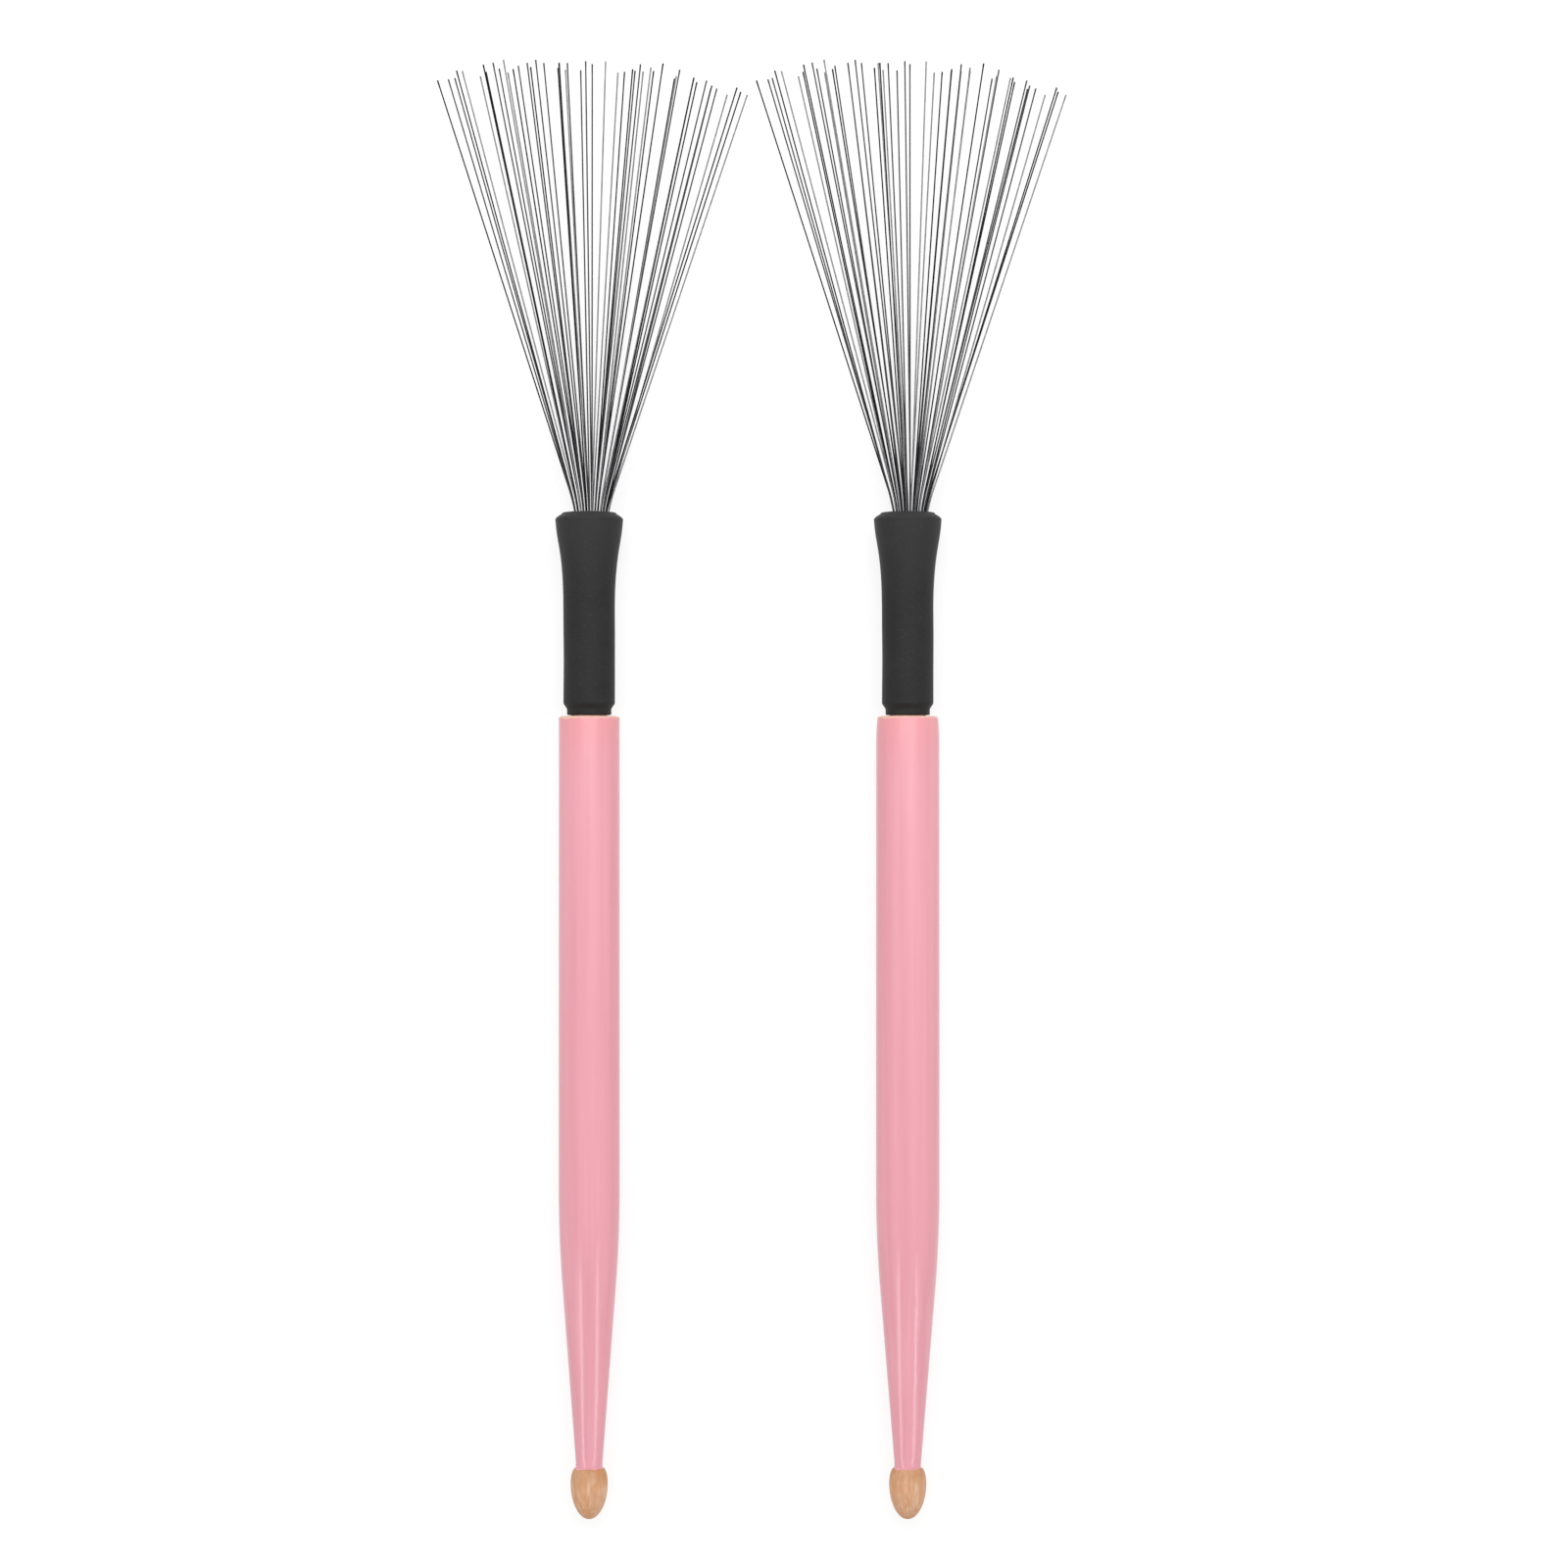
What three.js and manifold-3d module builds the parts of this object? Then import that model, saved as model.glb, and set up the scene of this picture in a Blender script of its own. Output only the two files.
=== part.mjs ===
// A pair of wire drum brushes with drumstick handles, lying side by side on a flat surface.
//
// Frame: millimetres, +Z up, +Y along both brushes from the wooden tips towards the wires, and X across
// the pair. The origin is on the surface that they lie on, midway between the two brushes and between
// their beads and the tips of their middle wires.
//
// A brush is a turned wooden stick with a bead at one end and a tenon at the other. A bell-mouthed
// steel ferrule sits over the tenon, held by a lock pin, and a rubber sleeve covers the ferrule from the
// stick's shoulder to the mouth. The wires are steel hairpins. They hang side by side on a loop pin that
// crosses the ferrule just inside the mouth, in two layers, and fan out from there. As the brush sweeps,
// they swing about the loop pin until they meet the mouth's lip.

import * as THREE from "three";
import { mergeVertices } from "three/addons/utils/BufferGeometryUtils.js";
import Module from "manifold-3d";

const wasm = await Module();
wasm.setup();

// Driving dimensions. A station is a distance along a brush from the end of its bead.
const BRUSH_PITCH = 78; // between the two brushes' axes
const SHANK_R = { left: 7.5, right: 7.8 }; // hand-turned heavy drumsticks, alike apart from this
const BUTT_R = 7.47;
const BUTT_STATION = 196;
const SLEEVE_LENGTH = 49.5;
const MOUTH_R = 8.3; // the sleeve's widest point, at its flared mouth
const WIRE_D = 0.35;
const WIRE_REACH = 118; // from the loop pin to the tips of the middle wires
const FAN_SLOPE = 0.329; // sideways run of the outermost wires for each millimetre forwards
const FAN_HALF_DEPTH = 6.6; // of the middle wires at their tips

// The stick. Its taper ends at a share of the shank's radius.
const BEAD = { radius: 4.55, widest: 8.8, neckStation: 12.65, neckRadius: 3.2 };
const TAPER = { endStation: 58, endShare: 0.886, cornerStation: 69.5, shankStation: 81 };
const SHANK = { thickestUntil: 110, buttStart: 190, narrowing: 0.05 };
const BUTT_ROUND = 0.6;
const TENON_R = 4.4;
const TENON_LENGTH = 30;
const TENON_CHAMFER = 0.5;

// The ferrule and its sleeve. The sleeve's inner wall follows the ferrule with a small gap.
const SKIN_GAP = 0.12;
const SHOULDER_GAP = 0.3; // between the stick's shoulder and the sleeve
const FERRULE_R = 5.15;
const FERRULE_WALL = 0.6;
const FERRULE_START = BUTT_STATION + 4.3;
const SLEEVE_R = 6.3;
const SLEEVE_START = BUTT_STATION + 0.9;
const SLEEVE_END = SLEEVE_START + SLEEVE_LENGTH;
const SLEEVE_NECK = { radius: 5.42, length: 1.3, shoulder: 1.5 };
const BELL = { start: SLEEVE_END - 18.4, corner: SLEEVE_END - 13.4, end: SLEEVE_END - 1.25, radius: 7 };
const FLARE = { start: SLEEVE_END - 26.4, bend: SLEEVE_END - 8.9, bendRadius: 7.8, end: SLEEVE_END - 2.1 };
const RIM_LAND = 0.6;
const LIP = {
  outer: 6.65,
  inner: 6.15,
  thickness: 0.95,
  height: 0.35,
  bevel: 0.15,
  cornerRadius: 8,
  cornerHeight: 1,
};

// The pins, both along X.
const LOCK_PIN = { radius: 0.8, halfLength: 5, station: BUTT_STATION + 17 };
const LOOP_PIN = { radius: 1, halfLength: 5.9, station: SLEEVE_END - 8 };
const PIN_CLEARANCE = 0.15;

// The hairpins. Their loops lie in two layers round the loop pin, and all strands straighten out at
// STRAIGHT_FROM in front of it. A layer's strands spread by a different share above and below the pin.
const LAYERS = [
  { name: "inner", hairpins: 13, loopRadius: 1.36, above: 1, below: 0.9, depth: 0.36 },
  { name: "outer", hairpins: 12, loopRadius: 1.93, above: 0.88, below: 0.93, depth: 1 },
];
const HAIRPIN_PITCH = 0.56; // along the loop pin
const FAN_OFFSET = 0.65; // the hairpins sit this far right of the pin's middle
const FAN_LEAN = 0.0068; // and the fan leans to the right by this slope
const STRAIGHT_FROM = 14;
const BEND_STATIONS = [0, 5, 10, STRAIGHT_FROM];
const LOOP_STEPS = 6;
const LOOP_SLANT = 0.04; // half the sideways step of a hairpin as it passes round the pin
const FAN_ROUNDNESS = 0.85; // 1 would close the fan's depth to nothing at its sides
const CLUMPING = [
  { amount: 0.032, turns: 1 }, // the strands are sparse in the fan's middle and at its sides
  { amount: 0.024, turns: 2 }, // and gather into groups with gaps between them
];
const SLOPE_SCATTER = 0.02;
const DEPTH_SCATTER = 0.005;
const LENGTH_SCATTER = 1.3;
const LENGTH_TILT = 1.6; // the fan's left side is longer and its right side shorter by this

const ROUND_SIDES = 24;
const CURVE_STEPS = 4;
const PIN_SIDES = 12;
const WIRE_SIDES = 6;

const LOOKS = {
  lacquer: { color: 0xf4a9b6, roughness: 0.35, metalness: 0 },
  rubber: { color: 0x3b3b3b, roughness: 0.85, metalness: 0 },
  ferrule: { color: 0xb9bcc0, roughness: 0.3, metalness: 1 },
  pin: { color: 0xa4a7ab, roughness: 0.35, metalness: 1 },
  wire: { color: 0x8d9094, roughness: 0.3, metalness: 1 },
};

function part(name, geometry, look) {
  const mesh = new THREE.Mesh(geometry, new THREE.MeshStandardMaterial(LOOKS[look]));
  mesh.name = name;
  return mesh;
}

// A profile of (radius, station) points turned round the brush's axis, with a flat facing down.
function turned(points) {
  return new THREE.LatheGeometry(points, ROUND_SIDES, Math.PI / ROUND_SIDES);
}

function solidOf(geometry) {
  const bare = geometry.clone();
  bare.deleteAttribute("normal");
  bare.deleteAttribute("uv");
  const merged = mergeVertices(bare, 1e-4);
  return new wasm.Manifold(
    new wasm.Mesh({
      numProp: 3,
      vertProperties: merged.attributes.position.array,
      triVerts: new Uint32Array(merged.index.array),
    }),
  );
}

function geometryOf(solid) {
  const { vertProperties, triVerts } = solid.getMesh();
  return new THREE.BufferGeometry()
    .setAttribute("position", new THREE.BufferAttribute(vertProperties, 3))
    .setIndex(new THREE.BufferAttribute(triVerts, 1));
}

// A cylinder along X at a station on the brush's axis.
function crossCylinder(radius, halfLength, station) {
  return new THREE.CylinderGeometry(radius, radius, 2 * halfLength, PIN_SIDES)
    .rotateZ(Math.PI / 2)
    .translate(0, station, 0);
}

function drilledFor(pin, geometry) {
  const hole = crossCylinder(pin.radius + PIN_CLEARANCE, 2 * MOUTH_R, pin.station);
  return solidOf(geometry).subtract(solidOf(hole));
}

function stickGeometry(shankR) {
  const profile = new THREE.Path();
  profile.moveTo(0, 0);
  profile.absellipse(0, BEAD.widest, BEAD.radius, BEAD.widest, -Math.PI / 2, 0);
  profile.absellipse(
    BEAD.neckRadius,
    BEAD.widest,
    BEAD.radius - BEAD.neckRadius,
    BEAD.neckStation - BEAD.widest,
    0,
    Math.PI / 2,
  );
  profile.lineTo(TAPER.endShare * shankR, TAPER.endStation);
  profile.quadraticCurveTo(shankR, TAPER.cornerStation, shankR, TAPER.shankStation);
  profile.lineTo(shankR, SHANK.thickestUntil);
  profile.lineTo(shankR - SHANK.narrowing, SHANK.buttStart);
  profile.lineTo(BUTT_R, BUTT_STATION);
  profile.quadraticCurveTo(
    BUTT_R,
    BUTT_STATION + BUTT_ROUND,
    BUTT_R - 1.5 * BUTT_ROUND,
    BUTT_STATION + BUTT_ROUND,
  );
  profile.lineTo(TENON_R, SLEEVE_START - SHOULDER_GAP);
  profile.lineTo(TENON_R, BUTT_STATION + TENON_LENGTH - TENON_CHAMFER);
  profile.lineTo(TENON_R - TENON_CHAMFER, BUTT_STATION + TENON_LENGTH);
  profile.lineTo(0, BUTT_STATION + TENON_LENGTH);
  return geometryOf(drilledFor(LOCK_PIN, turned(profile.getPoints(CURVE_STEPS))));
}

function ferruleGeometry() {
  const bore = FERRULE_R - FERRULE_WALL;
  const profile = new THREE.Path();
  profile.moveTo(bore, FERRULE_START);
  profile.lineTo(FERRULE_R, FERRULE_START);
  profile.lineTo(FERRULE_R, BELL.start);
  profile.quadraticCurveTo(FERRULE_R, BELL.corner, BELL.radius, BELL.end);
  profile.lineTo(BELL.radius - FERRULE_WALL, BELL.end);
  profile.quadraticCurveTo(bore, BELL.corner, bore, BELL.start);
  profile.lineTo(bore, FERRULE_START);
  const tube = turned(profile.getPoints(CURVE_STEPS));
  const lockHoles = geometryOf(drilledFor(LOCK_PIN, tube));
  return geometryOf(drilledFor(LOOP_PIN, lockHoles));
}

function sleeveGeometry() {
  const { radius: neckR, length: neckLength, shoulder } = SLEEVE_NECK;
  const neckTop = SLEEVE_START + neckLength;
  const bore = FERRULE_R + SKIN_GAP;
  const profile = new THREE.Path();
  profile.moveTo(TENON_R + SKIN_GAP, SLEEVE_START);
  profile.lineTo(neckR, SLEEVE_START);
  profile.lineTo(neckR, neckTop);
  profile.lineTo(SLEEVE_R, neckTop + shoulder);
  profile.lineTo(SLEEVE_R, FLARE.start);
  profile.bezierCurveTo(SLEEVE_R, FLARE.bend, FLARE.bendRadius, FLARE.bend, MOUTH_R, FLARE.end);
  profile.lineTo(MOUTH_R, FLARE.end + RIM_LAND);
  profile.quadraticCurveTo(
    LIP.cornerRadius,
    SLEEVE_END - LIP.cornerHeight,
    LIP.outer + LIP.bevel,
    SLEEVE_END - LIP.height,
  );
  profile.lineTo(LIP.outer, SLEEVE_END);
  profile.lineTo(LIP.inner, SLEEVE_END);
  profile.lineTo(LIP.inner, SLEEVE_END - LIP.thickness);
  profile.lineTo(BELL.radius + SKIN_GAP, SLEEVE_END - LIP.thickness);
  profile.lineTo(BELL.radius + SKIN_GAP, BELL.end);
  profile.quadraticCurveTo(bore, BELL.corner, bore, BELL.start);
  profile.lineTo(bore, FERRULE_START - SKIN_GAP);
  profile.lineTo(TENON_R + SKIN_GAP, FERRULE_START - SKIN_GAP);
  profile.lineTo(TENON_R + SKIN_GAP, SLEEVE_START);
  return turned(profile.getPoints(CURVE_STEPS));
}

// A number from -1 to 1 that looks random and is the same each run.
function scatter(seed) {
  const wave = 43758.5453 * Math.sin(12.9898 * seed);
  return 2 * (wave - Math.floor(wave)) - 1;
}

// How far a strand's slope has carried it at a distance in front of the loop pin: it starts parallel
// to the axis and bends until STRAIGHT_FROM.
function run(distance) {
  return distance < STRAIGHT_FROM
    ? distance ** 2 / (2 * STRAIGHT_FROM)
    : distance - STRAIGHT_FROM / 2;
}

// A hairpin's place across the fan, from -1 at its left side to 1 at its right.
function shareOf(layer, index) {
  return (2 * index) / (layer.hairpins - 1) - 1;
}

function halfWidth(layer) {
  return (HAIRPIN_PITCH * (layer.hairpins - 1)) / 2;
}

// Where a hairpin hangs on the loop pin. An even layer is shifted by half a pitch, so that its hairpins
// hang over those of the odd layer and not over the gaps between them. The shift is away from the side
// that the fan is offset to, where the lip is close.
function hangingX(layer, index) {
  const shift = layer.hairpins % 2 ? 0 : HAIRPIN_PITCH / 2;
  return FAN_OFFSET - shift + halfWidth(layer) * shareOf(layer, index);
}

// The distance in front of the loop pin at which a strand ends. The strands are one length, counted
// from the point behind the pin where their straight lines meet.
function tipDistance(slopeX, slopeZ, change) {
  const apex = STRAIGHT_FROM / 2 - halfWidth(LAYERS[0]) / FAN_SLOPE;
  return apex + (WIRE_REACH - apex + change) / Math.hypot(1, slopeX, slopeZ);
}

// One strand of a hairpin, from the loop pin to its tip. side is 1 above the pin and -1 below it.
function strandStations(layer, index, side) {
  const seed = 100 * LAYERS.indexOf(layer) + 4 * index + side + 2;
  const share = shareOf(layer, index);
  const clumped = CLUMPING.reduce(
    (x, { amount, turns }) => x + amount * Math.sin(2 * Math.PI * turns * share),
    share,
  );
  const spread = side > 0 ? layer.above : layer.below;
  const loose = Math.abs(share) * spread === 1 ? 0 : 1; // the outermost strands set the fan's width
  const slopeX = FAN_LEAN + FAN_SLOPE * spread * clumped + loose * SLOPE_SCATTER * scatter(seed);
  const depth = FAN_HALF_DEPTH * layer.depth * Math.sqrt(1 - (FAN_ROUNDNESS * share) ** 2);
  const slopeZ = side * ((depth - layer.loopRadius) / WIRE_REACH + DEPTH_SCATTER * scatter(seed + 0.3));
  const change = loose * LENGTH_SCATTER * scatter(seed + 0.6) - LENGTH_TILT * share;
  const startX = hangingX(layer, index) + side * LOOP_SLANT;
  return [...BEND_STATIONS, tipDistance(slopeX, slopeZ, change)].map(
    (distance) =>
      new THREE.Vector3(
        startX + slopeX * run(distance),
        LOOP_PIN.station + distance,
        side * layer.loopRadius + slopeZ * run(distance),
      ),
  );
}

// The half turn of a hairpin behind the loop pin, from the strand above to the one below.
function loopStations(layer, index) {
  const x = hangingX(layer, index);
  return Array.from({ length: LOOP_STEPS - 1 }, (_, step) => {
    const angle = (Math.PI * (step + 1)) / LOOP_STEPS;
    return new THREE.Vector3(
      x + LOOP_SLANT * Math.cos(angle),
      LOOP_PIN.station - layer.loopRadius * Math.sin(angle),
      layer.loopRadius * Math.cos(angle),
    );
  });
}

// A line through stations that stay where they are set. Other curves would spread them evenly along
// the length, and a wire is straight for most of it.
class StationLine extends THREE.Curve {
  constructor(stations) {
    super();
    this.stations = stations;
  }

  getPoint(share, target = new THREE.Vector3()) {
    const place = share * (this.stations.length - 1);
    const index = Math.min(Math.floor(place), this.stations.length - 2);
    return target.lerpVectors(this.stations[index], this.stations[index + 1], place - index);
  }

  getPointAt(share, target) {
    return this.getPoint(share, target);
  }

  getTangentAt(share, target) {
    return this.getTangent(share, target);
  }
}

function hairpinGeometry(layer, index) {
  const stations = [
    ...strandStations(layer, index, 1).reverse(),
    ...loopStations(layer, index),
    ...strandStations(layer, index, -1),
  ];
  const turn = (2 * Math.PI) / WIRE_SIDES;
  const radius = (WIRE_D / 2) * Math.sqrt(turn / Math.sin(turn)); // with a round wire's area
  const section = Array.from({ length: WIRE_SIDES }, (_, side) =>
    new THREE.Vector2(Math.cos(turn * side), Math.sin(turn * side)).multiplyScalar(radius),
  );
  return new THREE.ExtrudeGeometry(new THREE.Shape(section), {
    extrudePath: new StationLine(stations),
    steps: stations.length - 1,
  });
}

function brush(side) {
  const group = new THREE.Group();
  group.add(part(`${side}_stick`, stickGeometry(SHANK_R[side]), "lacquer"));
  group.add(part(`${side}_ferrule`, ferruleGeometry(), "ferrule"));
  group.add(part(`${side}_sleeve`, sleeveGeometry(), "rubber"));
  for (const [name, pin] of [["lock_pin", LOCK_PIN], ["loop_pin", LOOP_PIN]]) {
    group.add(part(`${side}_${name}`, crossCylinder(pin.radius, pin.halfLength, pin.station), "pin"));
  }
  for (const layer of LAYERS) {
    for (let index = 0; index < layer.hairpins; index += 1) {
      const number = String(index + 1).padStart(2, "0");
      group.add(part(`${side}_${layer.name}_wire_${number}`, hairpinGeometry(layer, index), "wire"));
    }
  }
  return group;
}

// Each brush lies on the flat under its mouth, which is its widest part.
const pair = new THREE.Group();
const halfLength = (LOOP_PIN.station + WIRE_REACH) / 2;
const restHeight = MOUTH_R * Math.cos(Math.PI / ROUND_SIDES);
for (const [side, place] of [["left", -0.5], ["right", 0.5]]) {
  const one = brush(side);
  one.position.set(place * BRUSH_PITCH, -halfLength, restHeight);
  pair.add(one);
}

export default pair;
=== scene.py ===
"""A pair of wire drum brushes with drumstick handles, finished for close viewing.

The CAD frame gives each brush's place, its sleeve's and pins' stations and the course of every wire. Each
part is turned or drawn again here at full smoothness, with the same shape, and has its own procedural
material. Profiles are (radius, station) points in millimetres, where a station is a distance along the
brush from the end of its bead, as in the CAD. Everything else is in metres.
"""

import math

import bmesh
import bpy
import numpy as np
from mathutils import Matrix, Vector


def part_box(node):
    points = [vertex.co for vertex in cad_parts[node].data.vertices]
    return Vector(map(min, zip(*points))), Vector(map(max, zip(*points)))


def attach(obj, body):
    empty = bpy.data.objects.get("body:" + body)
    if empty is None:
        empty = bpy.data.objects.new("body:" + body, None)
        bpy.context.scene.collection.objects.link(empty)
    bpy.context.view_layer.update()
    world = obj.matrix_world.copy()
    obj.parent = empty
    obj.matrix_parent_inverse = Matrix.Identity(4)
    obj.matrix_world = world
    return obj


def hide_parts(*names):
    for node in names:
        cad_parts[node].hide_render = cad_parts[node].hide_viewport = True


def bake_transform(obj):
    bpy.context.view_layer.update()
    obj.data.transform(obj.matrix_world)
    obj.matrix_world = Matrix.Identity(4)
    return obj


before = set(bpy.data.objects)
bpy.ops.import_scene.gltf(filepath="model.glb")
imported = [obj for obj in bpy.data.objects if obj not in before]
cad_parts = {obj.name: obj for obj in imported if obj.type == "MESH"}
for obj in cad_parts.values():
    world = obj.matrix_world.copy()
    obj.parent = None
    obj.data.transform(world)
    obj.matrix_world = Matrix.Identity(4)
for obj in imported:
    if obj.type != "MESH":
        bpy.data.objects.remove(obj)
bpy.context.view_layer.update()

MM = 0.001
SIDES = ("left", "right")
TINY = 1e-6  # what counts as no distance

# The stick, in the CAD's own numbers.
SHANK_R = {"left": 7.5, "right": 7.8}
BUTT_R = 7.47
BUTT_STATION = 196.0
BUTT_EASE = 3.0  # the stretch over which the butt's side rolls in to BUTT_R
BUTT_ROUND = {"across": 0.9, "along": 0.6}
BEAD_R = 4.55
BEAD_WIDEST = 8.8
BEAD_BACK = 84  # degrees of the bead's back half, which stops short of the neck
NECK_R = 3.2
NECK_STATION = 12.65
NECK_EASE = {"out": 0.02, "along": 0.35}  # from the bead's foot to the taper
TAPER = {"end": 58.0, "share": 0.886, "corner": 69.5, "shank": 81.0}
SHANK = {"thickest_until": 110.0, "butt_start": 190.0, "narrowing": 0.05}
TENON_R = 4.4
TENON_ROOT = 0.2  # fillet between the tenon and the butt's shoulder
TENON_END = 226.0
TENON_CHAMFER = 0.5

# The lacquer's edges.
PAINT_WAVE = {"height": 0.16, "reach": 0.7}  # how the dipped edge wanders
PAINT_BEAD = {"height": 0.09, "reach": 0.28, "behind": 0.45}  # the thick rim it dried with at the bead

# The sleeve, the ferrule under it and the pins. "Back" is a distance from the sleeve's mouth.
SKIN_GAP = 0.12
FERRULE_R = 5.15
FERRULE_WALL = 0.6
FERRULE_START = BUTT_STATION + 4.3
BELL_R = 7.0
BELL_BACK = {"start": 18.4, "corner": 13.4, "end": 1.25}
SLEEVE_R = 6.3
SLEEVE_NECK_R = 5.42
SLEEVE_NECK = 1.3  # length of the waist
SLEEVE_SHOULDER = 1.5  # length of the slope from the waist to the straight tube
SLEEVE_HEM = {"inside": 0.15, "outside": 0.25}  # roundings of the sleeve's end
WAIST_FILLET = {"out": 0.04, "across": 0.2, "along": 0.5}
SHOULDER_ROUND = {"across": 0.12, "before": 0.2, "after": 0.25}
MOUTH_R = 8.3
FLARE_BACK = {"start": 26.4, "corner": 8.9, "end": 2.1}
FLARE_PULL_R = 7.8  # with the corner's station, what pulls the flare outwards
RIM_BACK = 1.5
RIM_ROUND = {"across": 0.04, "corner": 0.1, "along": 0.25}
RIM_SLOPE = {"radius": 8.1, "back": 1.05}  # the pull on the slope from the rim to the lip
LIP = {"outer": 6.65, "inner": 6.15, "thickness": 0.95, "foot": 0.15, "height": 0.35}
LIP_FOOT_BACK = 0.28
LIP_EDGE = 0.22
SLEEVE_RIPPLE = 0.035  # unevenness of the shrunk rubber
RIPPLE_START = 0.6  # length along the skin, past its rounded end
PIN_CLEARANCE = 0.15
PIN_CHAMFER = 0.25

# The wires.
WIRE_R = 0.175 * MM
STRAIGHT_FROM = 14 * MM  # in front of the loop pin, where the strands stop bending
BURR = 1.2  # a cut end's width, as a share of the wire's

# Places along the brushes, in the frame.
NECK_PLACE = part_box("left_stick")[0].y + NECK_STATION * MM
BUTT_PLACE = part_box("left_stick")[0].y + BUTT_STATION * MM
MOUTH_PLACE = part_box("left_sleeve")[1].y
CORAL_REACH = 14 * MM  # of the warmer tint, from the butt
STAIN_REACH = 5 * MM  # of the lacquer soaked into the bead, from the neck
PAINTED_SHEEN = {"start": 20 * MM, "full": 7 * MM}  # of the painted sheen on the rubber, from the mouth

# Mesh fineness.
TURN_SIDES = 96
PIN_SIDES = 32
SLIVER = 0.001  # edges shorter than this are closed up after a cut
WIRE_SIDES = 8
STRAND_STEPS = 44
BEND_STEPS = 10
LOOP_STEPS = 14


# Profiles -------------------------------------------------------------------------------------------


def arc(centre, radii, start, end, steps):
    """Points on an ellipse round centre, between two angles in degrees. Angle 0 is straight outwards."""
    turns = np.radians(np.linspace(start, end, steps + 1))
    return [(centre[0] + radii[0] * math.cos(t), centre[1] + radii[1] * math.sin(t)) for t in turns]


def line(start, end, steps=1):
    """Evenly spaced points from start to end."""
    shares = np.linspace(0, 1, steps + 1)
    return [tuple(np.array(start) + share * (np.array(end) - np.array(start))) for share in shares]


def curve(points, steps):
    """A Bezier curve between the first and last points, pulled towards those between them."""

    def at(share):
        level = [np.array(point) for point in points]
        while len(level) > 1:
            level = [(1 - share) * a + share * b for a, b in zip(level, level[1:])]
        return tuple(level[0])

    return [at(share) for share in np.linspace(0, 1, steps + 1)]


def joined(*stretches):
    """One profile from several stretches, with repeated points left out."""
    points = [stretches[0][0]]
    for stretch in stretches:
        points += [p for p in stretch if math.dist(p, points[-1]) > TINY]
    return points


def length_at(profile, index):
    """Length along a profile as far as its point with that index."""
    return sum(math.dist(profile[i], profile[i + 1]) for i in range(index))


# Meshes ---------------------------------------------------------------------------------------------


def finished(name, bm, materials):
    """A smooth-shaded object from a bmesh, which it uses up."""
    bmesh.ops.recalc_face_normals(bm, faces=bm.faces)
    mesh = bpy.data.meshes.new(name)
    bm.to_mesh(mesh)
    bm.free()
    mesh.shade_smooth()
    for material in materials:
        mesh.materials.append(material)
    piece = bpy.data.objects.new(name, mesh)
    bpy.context.scene.collection.objects.link(piece)
    return piece


def bridge(bm, first, second, zone=0):
    """Faces between two rings. A ring of one vertex is a point on the axis."""
    count = max(len(first), len(second))
    for i in range(count):
        j = (i + 1) % count
        near = [first[i % len(first)], first[j % len(first)]]
        far = [second[j % len(second)], second[i % len(second)]]
        face = bm.faces.new(list(dict.fromkeys(near + far)))
        face.material_index = zone


def turned(name, profile, axis, materials, slide=None, swell=None, zones=None):
    """A piece turned round a brush's axis.

    slide(length, angle) moves a point along the profile and swell(length, angle) moves it out of the
    surface, both in millimetres. zones(ring) is the material of the faces after that ring.
    """
    points = np.array(profile)
    lengths = np.concatenate([[0], np.cumsum(np.hypot(*np.diff(points, axis=0).T))])
    tangent = np.gradient(points, lengths, axis=0)
    tangent /= np.maximum(np.hypot(*tangent.T), 1e-9)[:, None]
    closed = math.dist(profile[0], profile[-1]) < TINY
    bm = bmesh.new()
    rings = []
    for index in range(len(profile) - closed):
        on_axis = points[index, 0] < TINY
        ring = []
        for turn in np.arange(1 if on_axis else TURN_SIDES) * 2 * math.pi / TURN_SIDES:
            length = lengths[index] + (slide(lengths[index], turn) if slide else 0)
            out = swell(lengths[index], turn) if swell else 0
            radius = np.interp(length, lengths, points[:, 0]) + out * tangent[index, 1]
            station = np.interp(length, lengths, points[:, 1]) - out * tangent[index, 0]
            offset = Vector((radius * math.sin(turn), station, radius * math.cos(turn)))
            ring.append(bm.verts.new(axis + offset * MM))
        rings.append(ring)
    following = rings[1:] + rings[:1] if closed else rings[1:]
    for index, (ring, next_ring) in enumerate(zip(rings, following)):
        bridge(bm, ring, next_ring, zones(index) if zones else 0)
    return finished(name, bm, materials)


def cross_pin_mesh(bm, centre, radius, half_length, chamfer):
    """A pin along X with chamfered ends."""
    turns = np.arange(PIN_SIDES) * 2 * math.pi / PIN_SIDES
    rings = []
    for reach, r in (
        (-half_length, radius - chamfer),
        (chamfer - half_length, radius),
        (half_length - chamfer, radius),
        (half_length, radius - chamfer),
    ):
        spokes = [Vector((reach, r * math.cos(t), r * math.sin(t))) for t in turns]
        rings.append([bm.verts.new(centre + spoke) for spoke in spokes])
    for ring, next_ring in zip(rings, rings[1:]):
        bridge(bm, ring, next_ring)
    bm.faces.new(rings[0])
    bm.faces.new(rings[-1])


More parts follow.
